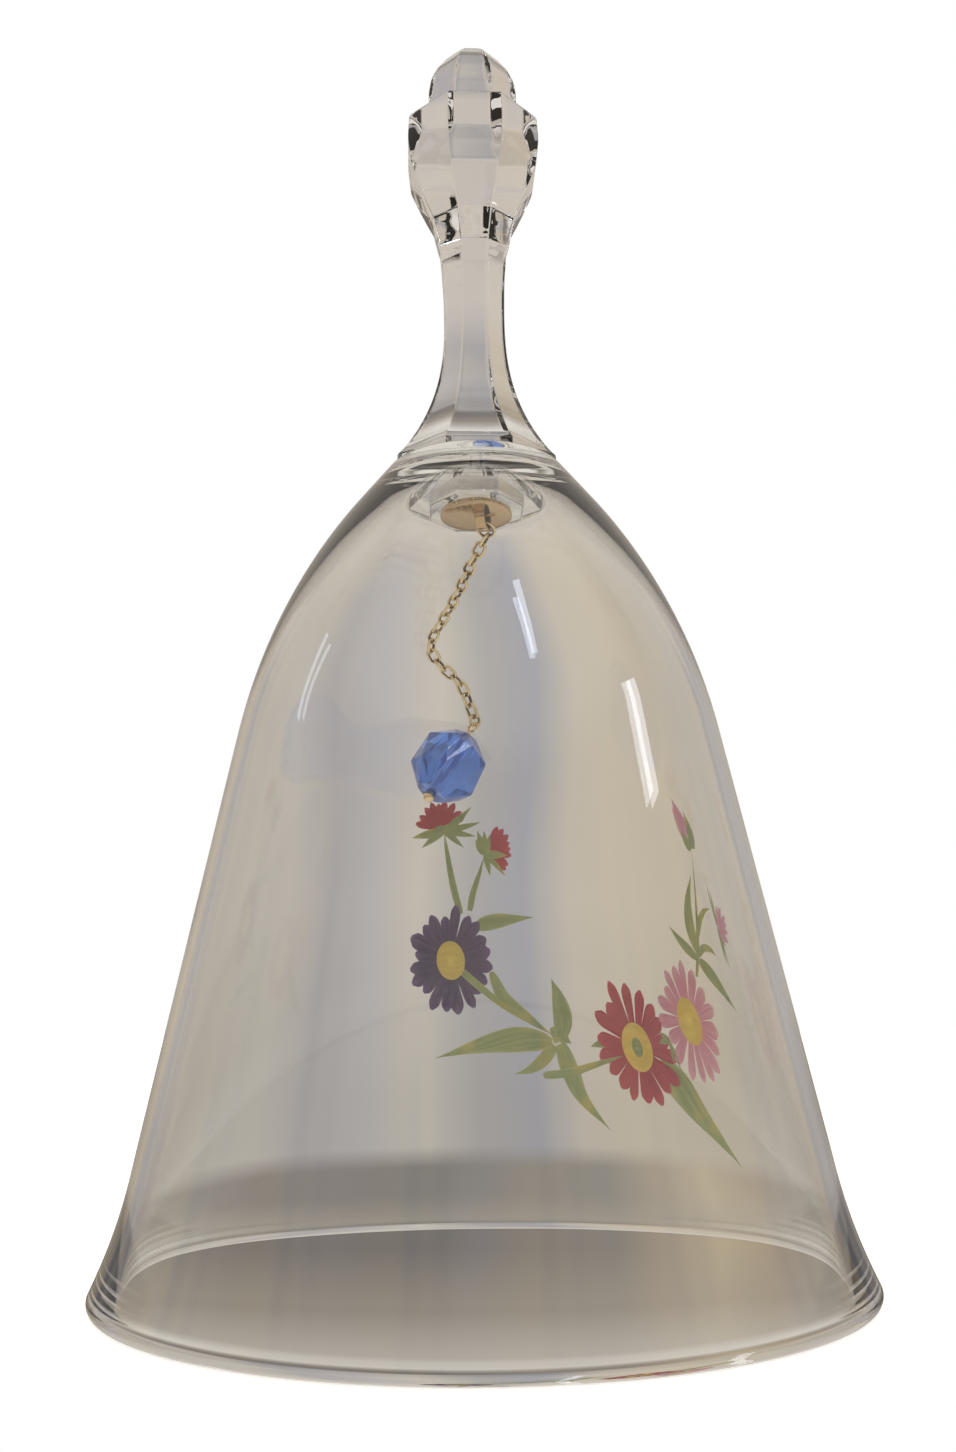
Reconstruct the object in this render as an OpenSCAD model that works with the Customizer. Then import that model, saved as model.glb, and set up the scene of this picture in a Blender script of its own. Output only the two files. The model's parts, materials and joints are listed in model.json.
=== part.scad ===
// Clear glass hand bell: a blown bell with a flared lip, a pressed eight-sided handle,
// and a clapper of a faceted glass bead on a fine cable chain that hangs from a glued brass pad.
// Millimetres, +Z up towards the knob, origin at the centre of the rim's resting face.

/* [Bell] */
// Outer radius of the flared lip
rim_r = 41.35; // [40.5:0.05:42.5]
// Outer radius where the flare runs into the straight wall
flare_r = 37.3; // [36.5:0.1:38]
// Height where the flare runs into the straight wall
flare_z = 14; // [12:0.5:16]
// Outer radius where the straight wall runs into the dome
shoulder_r = 27.8; // [27:0.1:28.5]
// Height where the straight wall runs into the dome
shoulder_z = 60; // [58:0.5:62]
// Thickness of the straight wall
wall = 1.55; // [1.3:0.05:1.8]
// Radius of the fire-polished roundings of the lip
lip_r = 1.0; // [0.9:0.05:1.1]
// Height of the top of the bell, where the handle is joined on
top_z = 93.4; // [93:0.1:94]

/* [Handle] */
// Height of the whole object
height = 152.5; // [150:0.5:156]
// Corner radius of the eight-sided foot of the handle
foot_r = 10.3; // [9.5:0.1:10.5]
// Corner radius of the handle at its narrowest
waist_r = 4.05; // [3.6:0.05:4.6]
// Corner radius of the knob at its widest
knob_r = 9.0; // [8.4:0.1:9.6]
// Turn of the eight flats about the axis
facet_turn = 2.5; // [0:0.5:10]

/* [Clapper pad] */
// Diameter of the brass pad
pad_d = 9.0; // [8:0.1:10]
// Thickness of the brass pad
pad_t = 0.5; // [0.4:0.05:0.7]
// Width of the half-round loop's strip
strip_w = 1.3; // [1.1:0.05:1.3]
// Turn of the loop about the bell's axis
loop_turn = -15; // [-20:1:0]

/* [Chain] */
// Number of links
link_count = 20; // [20:1:20]
// Length that each link adds to the chain
link_pitch = 1.6; // [1.55:0.01:1.62]
// Outer width of a link
link_w = 1.75; // [1.7:0.01:1.85]
// Wire of the links and rings
chain_wire = 0.4; // [0.38:0.01:0.4]

/* [Bead] */
// Diameter of the bead over its corners
bead_d = 10.2; // [9.4:0.1:10.4]
// Diameter of the hole through the bead
bead_bore = 1.4; // [1.2:0.1:1.6]
// Wire of the head pin
pin_wire = 0.6; // [0.5:0.05:0.7]
// Radius of the ball at the pin's lower end
ball_r = 0.75; // [0.7:0.05:0.8]

/* [Hidden] */
$fn = 96;
link_names = [for (k = [1:link_count]) str("link_", k < 10 ? "0" : "", k)];

// Profile of the bell. A bend is the angle in degrees through which an arc turns.
land_w = 0.4;
lip_turn = 108;
flare_bend = -15;
dome_bend = 25.6;
crown_r = 15.4;
crown_z = 87.3;
neck_r = 10.6;
ceiling_r = 8.8;
ceiling_z = 91;
inner_dome_bend = -35.4;
inner_flare_bend = 4.8;
arc_steps = 14;

// Eight-sided boss under the ceiling, which carries the pad
boss_r = 6.4;
boss_root = 0.5;
pad_z = 88.6;
boss_z = pad_z + pad_t;

// Flare of the handle's foot, which sweeps in from a step above the foot to the waist
foot_z = 94.3;
foot_step = 0.8;
flare_z0 = 95.2;
waist_z = 114.5;
flare_power = 2.6;
flare_rows = 12;

// Stations of the handle as [corner radius, height]: the neck, the knob and the cap
neck_stations = [[waist_r + 0.05, 118], [4.5, 123.4], [5.05, 125.4]];
knob_stations = [[5.4, 127], [6.3, 128.8], [7.6, 131.6], [8.6, 134], [knob_r, 137.6],
                 [knob_r - 0.2, 140.9]];
cap_stations = [[6.1, 142.6], [6.1, 145], [5.75, 147], [4.9, 148.9], [3.6, 150.7],
                [2.1, height - 0.5], [0, height]];

// Loop on the pad
loop_r = 1.7;
strip_t = 0.35;
loop_x = 0.8;
loop_lean = 60;

// Chain. A contact is the point midway between the wires of two neighbouring pieces.
play = 0.05;
contact = chain_wire / 2 + play / 2;
top_ring_r = 1.05;
top_ring_drop = 0.35;
bead_ring_r = 0.8;
eye_r = 0.75;
link_end_r = (link_w - chain_wire) / 2;
link_half = link_pitch / 2 + contact;
roll_per_link = 45 / link_count;
ring_roll = 50;
eye_roll = 45;

// Direction of the pin from its eye to its ball, the neck of wire between eye and bead,
// and how far the ball's centre stands out of the bead
pin_dir = [-0.5, -0.33, -0.85];
eye_neck = 1.3;
ball_out = 0.6;

// Latitudes of the bead's rings of corners
bead_rows = [-66, -24, 24, 66];
bead_half = bead_d / 2 * sin(66);
bead_back = [0, 1, 0];

// Route of the chain as it lies against the wall, from below the top ring to beyond the pin's eye
lay = [[-0.4, 5.2, 84.8], [-2.3, 10, 82.2], [-4.6, 14.6, 79.5], [-6.3, 17.3, 77],
       [-5.5, 18.9, 75], [-3.7, 19.9, 73.4], [-2.3, 20.7, 72.1], [-1.6, 21.3, 70.6],
       [-1.1, 21.8, 69.2], [-0.5, 22.3, 67.8], [0, 22.9, 65.5]];

function unit(v) = v / norm(v);

// Points of the arc from p to q that turns through bend degrees, anticlockwise when positive
function arc_to(p, q, bend, n = arc_steps) =
    let (d = q - p,
         r = norm(d) / (2 * sin(bend / 2)),
         a = atan2(d.y, d.x),
         c = (p + q) / 2 + r * cos(bend / 2) * [-sin(a), cos(a)])
    [for (i = [1:n]) let (t = a - 90 + bend * (i / n - 0.5)) c + r * [cos(t), sin(t)]];

// The frame that stands at c with its z axis along d, rolled by roll degrees from the back wall
function side_of(d) = unit(bead_back - (bead_back * d) * d);
function normal_of(d, roll) = cos(roll) * side_of(d) + sin(roll) * cross(d, side_of(d));
function frame_at(c, d, n) =
    let (a = cross(n, d))
    [[a.x, n.x, d.x, c.x], [a.y, n.y, d.y, c.y], [a.z, n.z, d.z, c.z], [0, 0, 0, 1]];

// Smooth curve through the route's points: u counts points
function route_point(u) =
    let (i = min(max(floor(u), 0), len(route) - 2),
         t = u - i,
         b = route[i],
         c = route[i + 1],
         a = i == 0 ? 2 * b - c : route[i - 1],
         d = i == len(route) - 2 ? 2 * c - b : route[i + 2])
    0.5 * (2 * b + (c - a) * t + (2 * a - 5 * b + 4 * c - d) * t * t
           + (3 * b - a - 3 * c + d) * t * t * t);

// How far along the route, in points, the search for the next contact goes
step_reach = 1.6;

// The u, between low and high, at which the route is a distance from the point p
function u_at(p, distance, low, high, turns = 24) =
    turns == 0 ? (low + high) / 2
    : let (mid = (low + high) / 2)
      norm(route_point(mid) - p) < distance
        ? u_at(p, distance, mid, high, turns - 1)
        : u_at(p, distance, low, mid, turns - 1);

// Contacts along the route: each step has its own length
function contacts(p, u, steps, i = 0) =
    i == len(steps) ? [p]
    : let (v = u_at(p, steps[i], u, u + step_reach))
      concat([p], contacts(route_point(v), v, steps, i + 1));

// The top ring sits on the loop, leaning towards the back wall
loop_centre = [loop_x, 0, pad_z];
loop_out = [-sin(loop_turn) * sin(loop_lean), cos(loop_turn) * sin(loop_lean), -cos(loop_lean)];
loop_axis = [cos(loop_turn), sin(loop_turn), 0];
ring_centre = loop_centre + (loop_r + top_ring_drop) * loop_out;
first_contact = ring_centre + (top_ring_r - contact) * loop_out;
route = concat([first_contact], lay);
bead_ring_pitch = 2 * (bead_ring_r - contact);
steps = concat([for (k = link_names) link_pitch], [bead_ring_pitch]);
chain = contacts(first_contact, 0, steps);
last_contact = chain[len(steps)];
pin_axis = unit(pin_dir);
eye_top = last_contact - contact * step_dir(link_count);
eye_centre = eye_top + eye_r * pin_axis;
bead_drop = eye_r + chain_wire / 2 + eye_neck + bead_half;
bead_centre = eye_centre + bead_drop * pin_axis;

function step_dir(k) = unit(chain[k + 1] - chain[k]);
function link_roll(k) = (k % 2 == 0 ? 90 : 0) + roll_per_link * k;

// Profile of the bell: the outside upwards, then the inside down to the lip
land_r = rim_r - lip_r;
lip_end = [land_r + lip_r * cos(lip_turn - 90), lip_r + lip_r * sin(lip_turn - 90)];
inner_slope = (flare_r - shoulder_r) / (shoulder_z - flare_z);
outside = concat([[land_r, 0]], arc_to([land_r, 0], lip_end, lip_turn, 10),
                 arc_to(lip_end, [flare_r, flare_z], flare_bend),
                 [[shoulder_r, shoulder_z]],
                 arc_to([shoulder_r, shoulder_z], [crown_r, crown_z], dome_bend),
                 [[neck_r, top_z], [0, top_z]]);
inside_top = [shoulder_r - wall, shoulder_z];
inside_low = [flare_r - wall, flare_z];
inside_lip = [land_r - land_w - lip_r, lip_r];
inside = concat([[0, ceiling_z], [ceiling_r, ceiling_z]],
                arc_to([ceiling_r, ceiling_z], inside_top, inner_dome_bend),
                [inside_low],
                arc_to(inside_low, inside_lip, inner_flare_bend),
                arc_to(inside_lip, [land_r - land_w, 0], 90, 8));

module bell_shell() {
    color([0.8, 0.82, 0.84, 0.35])
    union() {
        rotate_extrude()
            polygon(concat(outside, inside));
        rotate([0, 0, 22.5 + facet_turn])
            translate([0, 0, boss_z])
                cylinder(r = boss_r, h = ceiling_z - boss_z + boss_root, $fn = 8);
    }
}

// Corner radius of the flare, a power curve: t runs from 0 at the foot to 1 at the waist
function flare_at(t) = waist_r + (foot_r - foot_step - waist_r) * pow(1 - t, flare_power);

module handle() {
    flare = [for (i = [0:flare_rows]) let (t = i / flare_rows)
             [flare_at(t), flare_z0 + (waist_z - flare_z0) * t]];
    color([0.86, 0.88, 0.9, 0.4])
    rotate([0, 0, 22.5 + facet_turn])
        rotate_extrude($fn = 8)
            polygon(concat([[0, top_z], [foot_r, top_z], [foot_r, foot_z]], flare,
                           neck_stations, knob_stations, cap_stations));
}

module pad_disc() {
    color("goldenrod")
    translate([0, 0, pad_z])
        cylinder(d = pad_d, h = pad_t);
}

module pad_loop() {
    color("gold")
    translate(loop_centre)
        rotate([0, 0, loop_turn])
            rotate([-90, 0, -90])
                rotate_extrude(angle = 180)
                    translate([loop_r, 0])
                        square([strip_t, strip_w], center = true);
}

// A round ring of wire in the plane of x and z
module wire_ring(ring_r, wire) {
    rotate([90, 0, 0])
        rotate_extrude()
            translate([ring_r, 0])
                circle(d = wire, $fn = 24);
}

// An oval link of wire, long in z, in the plane of x and z
module oval_link() {
    straight = link_half - link_end_r;
    for (s = [-1, 1]) {
        translate([0, 0, s * straight])
            rotate([90, 0, s < 0 ? 180 : 0])
                rotate_extrude(angle = s * 180)
                    translate([link_end_r, 0])
                        circle(d = chain_wire, $fn = 24);
        translate([s * link_end_r, 0, -straight])
            cylinder(d = chain_wire, h = 2 * straight, $fn = 24);
    }
}

module top_ring() {
    color("goldenrod")
    multmatrix(frame_at(ring_centre, loop_out, cross(loop_out, loop_axis)))
        wire_ring(top_ring_r, chain_wire);
}

module link(k) {
    d = step_dir(k);
    color("darkgoldenrod")
    multmatrix(frame_at((chain[k] + chain[k + 1]) / 2, d, normal_of(d, link_roll(k))))
        oval_link();
}

module bead_ring() {
    d = step_dir(link_count);
    color("goldenrod")
    multmatrix(frame_at((chain[link_count] + last_contact) / 2, d, normal_of(d, ring_roll + 90)))
        wire_ring(bead_ring_r, chain_wire);
}

// Head pin: an eye at the origin, the wire through the bead, and the ball at its end
module head_pin() {
    ball_drop = bead_drop + bead_half + ball_out;
    color("gold")
    multmatrix(frame_at(eye_centre, pin_axis, normal_of(pin_axis, eye_roll))) {
        wire_ring(eye_r, chain_wire);
        translate([0, 0, eye_r])
            cylinder(d = pin_wire, h = ball_drop - eye_r);
        translate([0, 0, ball_drop])
            sphere(r = ball_r, $fn = 32);
    }
}

// Bead: rows of flats between rings of eight corners, each ring turned half a flat from the last
module bead() {
    r = bead_d / 2;
    flat = 0.02;
    color([0.15, 0.3, 0.7])
    multmatrix(frame_at(bead_centre, pin_axis, normal_of(pin_axis, 0)))
        difference() {
            hull()
                for (i = [0:len(bead_rows) - 1])
                    rotate([0, 0, 22.5 * (i % 2)])
                        translate([0, 0, r * sin(bead_rows[i]) - flat / 2])
                            cylinder(r = r * cos(bead_rows[i]), h = flat, $fn = 8);
            translate([0, 0, -r])
                cylinder(d = bead_bore, h = 2 * r, $fn = 48);
        }
}

bell_shell();
handle();
pad_disc();
pad_loop();
top_ring();
for (k = [0:link_count - 1])
    link(k);
bead_ring();
head_pin();
bead();
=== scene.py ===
"""Looks of a clear glass hand bell with a flower print and a blue bead clapper.

An add-on run as a script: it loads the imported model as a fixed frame, gives every
piece its finished surface and material, and sets the stage. Lengths in the tables
of stations are millimetres, turned into metres by MM where they are used.
"""

import json
import math

import bpy
import numpy as np
from mathutils import Matrix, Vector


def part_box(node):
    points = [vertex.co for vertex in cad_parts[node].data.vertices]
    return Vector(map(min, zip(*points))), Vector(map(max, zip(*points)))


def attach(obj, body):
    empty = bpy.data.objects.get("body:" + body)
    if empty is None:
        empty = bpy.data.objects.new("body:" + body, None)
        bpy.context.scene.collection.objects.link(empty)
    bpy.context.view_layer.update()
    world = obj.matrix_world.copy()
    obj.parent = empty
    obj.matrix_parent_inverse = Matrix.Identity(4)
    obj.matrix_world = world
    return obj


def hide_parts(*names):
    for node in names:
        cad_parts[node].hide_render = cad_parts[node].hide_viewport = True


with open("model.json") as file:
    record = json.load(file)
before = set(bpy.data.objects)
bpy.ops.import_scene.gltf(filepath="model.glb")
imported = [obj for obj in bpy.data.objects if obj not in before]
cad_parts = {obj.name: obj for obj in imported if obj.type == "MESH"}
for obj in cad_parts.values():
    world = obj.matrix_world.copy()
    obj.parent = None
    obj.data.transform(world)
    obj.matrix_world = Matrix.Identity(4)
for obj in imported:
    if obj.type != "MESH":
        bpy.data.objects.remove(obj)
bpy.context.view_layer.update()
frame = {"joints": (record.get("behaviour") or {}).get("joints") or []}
JOINTS = {joint["name"]: joint for joint in frame["joints"]}
MM = 0.001

bl_info = {
    "name": "Glass Hand Bell",
    "version": (1, 0, 0),
    "blender": (4, 5, 0),
    "location": "View3D > Sidebar > Bell",
    "description": "Finished surfaces and materials of a glass hand bell",
    "category": "Object",
}

# -------- properties


def linear(code):
    """Linear RGB of an sRGB hex code: ((c + 0.055) / 1.055) ** 2.4 above the toe."""
    c = np.array([int(code[i : i + 2], 16) for i in (0, 2, 4)]) / 255
    return tuple(np.where(c <= 0.04045, c / 12.92, ((c + 0.055) / 1.055) ** 2.4).tolist())


def length(name, mm, text):
    """A length property with its default in millimetres."""
    return bpy.props.FloatProperty(
        name=name, description=text, default=mm * MM, unit="LENGTH", subtype="DISTANCE", precision=5
    )


def angle(name, degrees, text):
    """An angle property with its default in degrees."""
    return bpy.props.FloatProperty(
        name=name, description=text, default=math.radians(degrees), unit="ROTATION", subtype="ANGLE"
    )


def colour(name, code, text):
    """A colour property with its default as an sRGB hex code."""
    return bpy.props.FloatVectorProperty(
        name=name, description=text, default=linear(code), subtype="COLOR", min=0, max=1
    )


class BellSizes(bpy.types.PropertyGroup):
    rim_r: length("Rim radius", 41.35, "Outer radius of the flared lip")
    flare_r: length("Flare radius", 37.3, "Outer radius where the flare meets the wall")
    flare_z: length("Flare height", 14, "Height where the flare meets the wall")
    shoulder_r: length("Shoulder radius", 27.8, "Outer radius where the wall meets the dome")
    shoulder_z: length("Shoulder height", 60, "Height where the wall meets the dome")
    crown_r: length("Crown radius", 15.4, "Outer radius where the dome ends")
    crown_z: length("Crown height", 87.3, "Height where the dome ends")
    neck_r: length("Neck radius", 10.6, "Outer radius at the top of the bell")
    top_z: length("Top height", 93.4, "Height where the handle is joined on")
    wall: length("Wall", 1.55, "Thickness of the straight wall")
    ceiling_r: length("Ceiling radius", 8.8, "Radius of the flat ceiling inside")
    ceiling_z: length("Ceiling height", 91, "Height of the flat ceiling inside")
    lip_r: length("Lip rounding", 1.0, "Radius of the fire-polished lip")
    land: length("Land", 0.4, "Width of the flat that the lip rests on")
    lip_turn: angle("Lip turn", 108, "Turn of the outer rounding")
    flare_bend: angle("Flare bend", -15, "Turn of the flare")
    dome_bend: angle("Dome bend", 25.6, "Turn of the dome")
    inner_dome_bend: angle("Inner dome bend", -35.4, "Turn of the dome inside")
    inner_flare_bend: angle("Inner flare bend", 4.8, "Turn of the flare inside")
    boss_r: length("Boss radius", 6.4, "Corner radius of the eight-sided boss")
    facet_turn: angle("Facet turn", 25, "Direction of the first of the eight corners")
    edge: length("Polished edge", 0.28, "Rounding of the pressed edges")
    bond: length("Bond", 0.02, "Overlap of joined pieces")
    pad_edge: length("Pad edge", 0.12, "Rounding of the stamped pad's edge")
    wire: length("Wire", 0.4, "Wire of the links and rings")
    play: length("Play", 0.05, "Free gap between two linked wires")
    link_w: length("Link width", 1.75, "Outer width of a link")
    top_ring_r: length("Top ring", 1.05, "Radius of the top ring's wire line")
    bead_ring_r: length("Bead ring", 0.8, "Radius of the bead ring's wire line")
    eye_r: length("Eye", 0.75, "Radius of the pin's eye")
    pin_wire: length("Pin wire", 0.6, "Wire of the head pin")
    ball_r: length("Ball", 0.75, "Radius of the ball at the pin's end")
    ball_out: length("Ball stand-off", 0.6, "Height of the ball's centre over the bead")
    roll: angle("Roll", 2.25, "Roll that each link adds")
    ring_roll: angle("Ring roll", 140, "Roll of the bead's ring")
    eye_roll: angle("Eye roll", 45, "Roll of the pin's eye")
    bead_d: length("Bead", 10.2, "Diameter of the bead over its corners")
    bore: length("Bore", 1.4, "Diameter of the bead's hole")
    bead_edge: length("Bead edge", 0.09, "Width of the bead's polished edges")
    paint: length("Paint", 0.035, "Thickness of the fired-on print")


class BellColours(bpy.types.PropertyGroup):
    clear: colour("Clear glass", "FCFDFC", "Tint of the blown glass")
    pressed: colour("Pressed glass", "FBFCFD", "Tint of the handle's glass")
    sapphire: colour("Sapphire glass", "5A92F0", "Tint of the bead's glass")
    brass: colour("Brass", "BFA277", "Polished brass of the pad")
    # The brown brass is also the painted shade inside the pad's loop.
    brass_dark: colour("Brown brass", "7A6038", "Browned brass in the recesses")
    gold: colour("Gold plate", "EAD3A4", "Bright wire of the chain and pin")
    # The browned plate is also the painted shade on the inside of the chain's links.
    gold_dark: colour("Browned plate", "5C4A30", "Antique browning of the chain")
    purple: colour("Purple", "36144E", "Petals of the purple daisy")
    purple_light: colour("Light purple", "6A4880", "Thin strokes of the purple daisy")
    red: colour("Red", "AC1C2E", "Petals of the red daisy and the buds")
    red_light: colour("Light red", "C4404C", "Thin strokes of the red")
    pink: colour("Pink", "D4849A", "Petals of the pink daisy")
    pink_light: colour("Light pink", "E2AEBB", "Thin strokes of the pink")
    yellow: colour("Yellow", "F6DC62", "Middles of the daisies")
    yellow_dark: colour("Ochre", "DEC048", "Shaded rim of the daisies' middles")
    green: colour("Green", "8A985A", "Leaves and stems")
    green_light: colour("Light green", "B4B876", "Edges of the leaves")


def settings(context):
    """The scene's sizes and colours."""
    return context.scene.bell_sizes, context.scene.bell_colours


# -------- mesh tools


def arc(p, q, bend, n):
    """Arc from p to q, p left out: c + r (cos t, sin t), turning through bend."""
    p, q = np.asarray(p, float), np.asarray(q, float)
    d = q - p
    r = np.hypot(*d) / (2 * math.sin(bend / 2))
    a = math.atan2(d[1], d[0])
    c = (p + q) / 2 + r * math.cos(bend / 2) * np.array([-math.sin(a), math.cos(a)])
    t = a - math.pi / 2 + bend * (np.arange(1, n + 1) / n - 0.5)
    return c + r * np.stack([np.cos(t), np.sin(t)], 1)


def resampled(points, spacing, passes=0):
    """The line at even steps, then averaged in passes: p' = (a + 2 p + b) / 4."""
    points = np.asarray(points, float)
    run = np.concatenate([[0], np.cumsum(np.linalg.norm(np.diff(points, axis=0), axis=1))])
    at = np.linspace(0, run[-1], max(int(run[-1] / spacing), 2) + 1)
    line = np.stack([np.interp(at, run, column) for column in points.T], 1)
    for _ in range(passes):
        line[1:-1] = (line[:-2] + 2 * line[1:-1] + line[2:]) / 4
    return line


def curve_through(points, n):
    """Smooth line through the points: a Catmull-Rom curve with n steps in each span."""
    p = np.asarray(points, float)
    p = np.concatenate([2 * p[:1] - p[1:2], p, 2 * p[-1:] - p[-2:-1]])
    a, b, c, d = (p[i : len(p) - 3 + i, None] for i in range(4))
    t = (np.arange(n) / n)[None, :, None]
    square, cube = 2 * a - 5 * b + 4 * c - d, 3 * b - a - 3 * c + d
    line = 0.5 * (2 * b + (c - a) * t + square * t**2 + cube * t**3)
    return np.concatenate([line.reshape(-1, p.shape[1]), p[-2:-1]])


def rounded(stations, n=4):
    """Line through corners [x, y, rounding]: each corner is the quadratic curve
    (1 - s)^2 a + 2 s (1 - s) p + s^2 b between points a and b on its two sides, set back
    by the rounding or by 0.42 of the shorter side."""
    st = np.asarray(stations, float)
    p, size = st[:, :2], st[1:-1, 2:3]
    side = np.diff(p, axis=0)
    run = np.linalg.norm(side, axis=1, keepdims=True)
    cut = np.minimum(size, 0.42 * np.minimum(run[:-1], run[1:]))
    a = p[1:-1] - side[:-1] / run[:-1] * cut
    b = p[1:-1] + side[1:] / run[1:] * cut
    s = np.linspace(0, 1, n + 1)[None, :, None]
    bends = (1 - s) ** 2 * a[:, None] + 2 * s * (1 - s) * p[1:-1, None] + s**2 * b[:, None]
    return np.concatenate([p[:1], bends.reshape(-1, 2), p[-1:]])


def around(n):
    """n even steps of a whole turn."""
    return np.arange(n) * 2 * math.pi / n


def revolve(profile, n):
    """Rings of a turned solid: (r cos t, r sin t, z) for each [r, z] of the profile."""
    t = around(n)
    r, z = profile[:, :1], profile[:, 1:]
    return np.stack([r * np.cos(t), r * np.sin(t), z + 0 * t], -1)


def octagons(profile, turn, edge, n=4):
    """Rings of an eight-sided solid. Each corner lies at r (cos t, sin t), rounded by
    an arc of radius e about (r - e / cos 22.5) (cos t, sin t), with e = edge or 0.3 r.
    Each flat has three points of its own."""
    r, z = profile[:, :1, None], profile[:, 1:, None]
    eighth = math.pi / 8
    e = np.minimum(edge, 0.3 * r)
    corner = turn + np.arange(8)[None, :, None] * 2 * eighth
    bend = corner + np.linspace(-eighth, eighth, n + 1)[None, None]
    out = r - e / math.cos(eighth)
    x = out * np.cos(corner) + e * np.cos(bend)
    y = out * np.sin(corner) + e * np.sin(bend)
    xy = np.stack([x, y], -1)
    ahead = np.roll(xy[:, :, 0], -1, 1)[:, :, None]
    behind = xy[:, :, -1:]
    flat = behind + (ahead - behind) * np.array([0.08, 0.5, 0.92])[None, None, :, None]
    xy = np.concatenate([xy, flat], 2).reshape(len(profile), -1, 2)
    return np.concatenate([xy, np.broadcast_to(z.reshape(-1, 1, 1), xy.shape[:2] + (1,))], -1)


def circle(r, n):
    """Section of a round wire."""
    t = around(n)
    return r * np.stack([np.cos(t), np.sin(t)], 1)


def sweep(path, normal, section, scale=None, loop=False):
    """Rings along a flat path p(t): p + s (u side + v normal) for [u, v] of the section,
    where side is the tangent crossed with the path's normal, and s the scale."""
    if loop:
        tangent = np.roll(path, -1, 0) - np.roll(path, 1, 0)
    else:
        tangent = np.gradient(path, axis=0)
    side = np.cross(tangent, normal)
    side /= np.linalg.norm(side, axis=1, keepdims=True)
    s = np.ones(len(path)) if scale is None else np.asarray(scale)
    return path[:, None] + s[:, None, None] * (
        side[:, None] * section[None, :, :1] + np.asarray(normal) * section[None, :, 1:]
    )


def shown(name, data):
    """A new object of the scene, with its data."""
    thing = bpy.data.objects.new(name, data)
    bpy.context.scene.collection.objects.link(thing)
    return thing


def meshed(name, points, faces, crease=None):
    """An object with a smooth mesh, sharp where it turns through more than crease."""
    mesh = bpy.data.meshes.new(name)
    mesh.from_pydata(points.tolist(), [], faces)
    mesh.polygons.foreach_set("use_smooth", [True] * len(mesh.polygons))
    if crease is not None:
        mesh.set_sharp_from_angle(angle=crease)
    return shown(name, mesh)


def closed_solid(name, rings, loop=False, marks=None, crease=None):
    """Mesh of closed solids: rings[k, i, j] is point j of ring i of solid k. Rings are
    joined by quads, and the ends closed by fans, or joined together where loop is set.
    marks are values per point, {name: array}, read by the materials."""
    rings = np.asarray(rings, float)
    rings = rings[None] if rings.ndim == 3 else rings
    k, nu, nv = rings.shape[:3]
    index = np.arange(k * nu * nv).reshape(k, nu, nv)
    a = index if loop else index[:, :-1]
    b = np.roll(index, -1, 1) if loop else index[:, 1:]
    quads = np.stack([a, np.roll(a, -1, 2), np.roll(b, -1, 2), b], -1).reshape(-1, 4)
    points = rings.reshape(-1, 3)
    faces = [quads]
    if not loop:
        tips = len(points) + np.arange(2 * k).reshape(k, 2, 1)
        for end, ring in ((0, index[:, 0]), (1, index[:, -1, ::-1])):
            tip = np.broadcast_to(tips[:, end], ring.shape)
            faces.append(np.stack([tip, np.roll(ring, -1, 1), ring], -1).reshape(-1, 3))
        points = np.concatenate([points, rings[:, [0, -1]].mean(2).reshape(-1, 3)])
    triangles = np.concatenate([quads[:, [0, 1, 2]], quads[:, [0, 2, 3]]] + faces[1:])
    p, q, r = (points[triangles[:, i]] for i in range(3))
    if (p * np.cross(q, r)).sum() < 0:
        faces = [f[:, ::-1] for f in faces]
    piece = meshed(name, points, sum((f.tolist() for f in faces), []), crease)
    for key, values in (marks or {}).items():
        values = np.broadcast_to(np.asarray(values, float), (k, nu, nv))
        if not loop:
            ends = values[:, [0, -1]].mean(2).reshape(-1)
            values = np.concatenate([values.reshape(-1), ends])
        stored = piece.data.attributes.new(key, "FLOAT", "POINT")
        stored.data.foreach_set("value", values.reshape(-1))
    return piece


def fit(piece, body, slot, material, *nodes):
    """Puts the piece on its body, with its material and the nodes it replaces; slot is not used."""
    piece.data.materials.append(material)
    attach(piece, body)
    if nodes:
        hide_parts(*nodes)


# -------- materials


def plug(tree, node, **inputs):
    """Sets sockets of a node, by name or as _number, to a value or a socket to link."""
    for key, value in inputs.items():
        key = int(key[1:]) if key[1:].isdigit() else key.replace("_", " ")
        socket = node.inputs[key]
        if isinstance(value, bpy.types.NodeSocket):
            tree.links.new(value, socket)
        else:
            socket.default_value = value
    return node


def add(tree, kind, settings=None, **inputs):
    """Adds a node, with its own fields from settings and its sockets from inputs."""
    node = tree.nodes.new(kind)
    for key, value in (settings or {}).items():
        setattr(node, key, value)
    return plug(tree, node, **inputs)


def maths(tree, operation, *values):
    """A Math node's result."""
    inputs = {f"_{i}": value for i, value in enumerate(values)}
    return add(tree, "ShaderNodeMath", {"operation": operation}, **inputs).outputs[0]


def vectors(tree, operation, **inputs):
    """A Vector Math node's result."""
    return add(tree, "ShaderNodeVectorMath", {"operation": operation}, **inputs).outputs[0]


def noise(tree, where, scale, detail):
    """Soft noise from 0 to 1 whose lumps are 1 / scale across."""
    return add(tree, "ShaderNodeTexNoise", Vector=where, Scale=scale, Detail=detail).outputs[0]


def mapped(tree, value, low, high, to_low=0.0, to_high=1.0):
    """The value brought from low..high to to_low..to_high, and held at the ends."""
    node = add(tree, "ShaderNodeMapRange", Value=value, _1=low, _2=high)
    return plug(tree, node, _3=to_low, _4=to_high).outputs[0]


def mixed(tree, share, a, b):
    """Colour a where share is 0, running to colour b where it is 1."""
    return add(tree, "ShaderNodeMix", {"data_type": "RGBA"}, _0=share, _6=a, _7=b).outputs[2]


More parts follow.
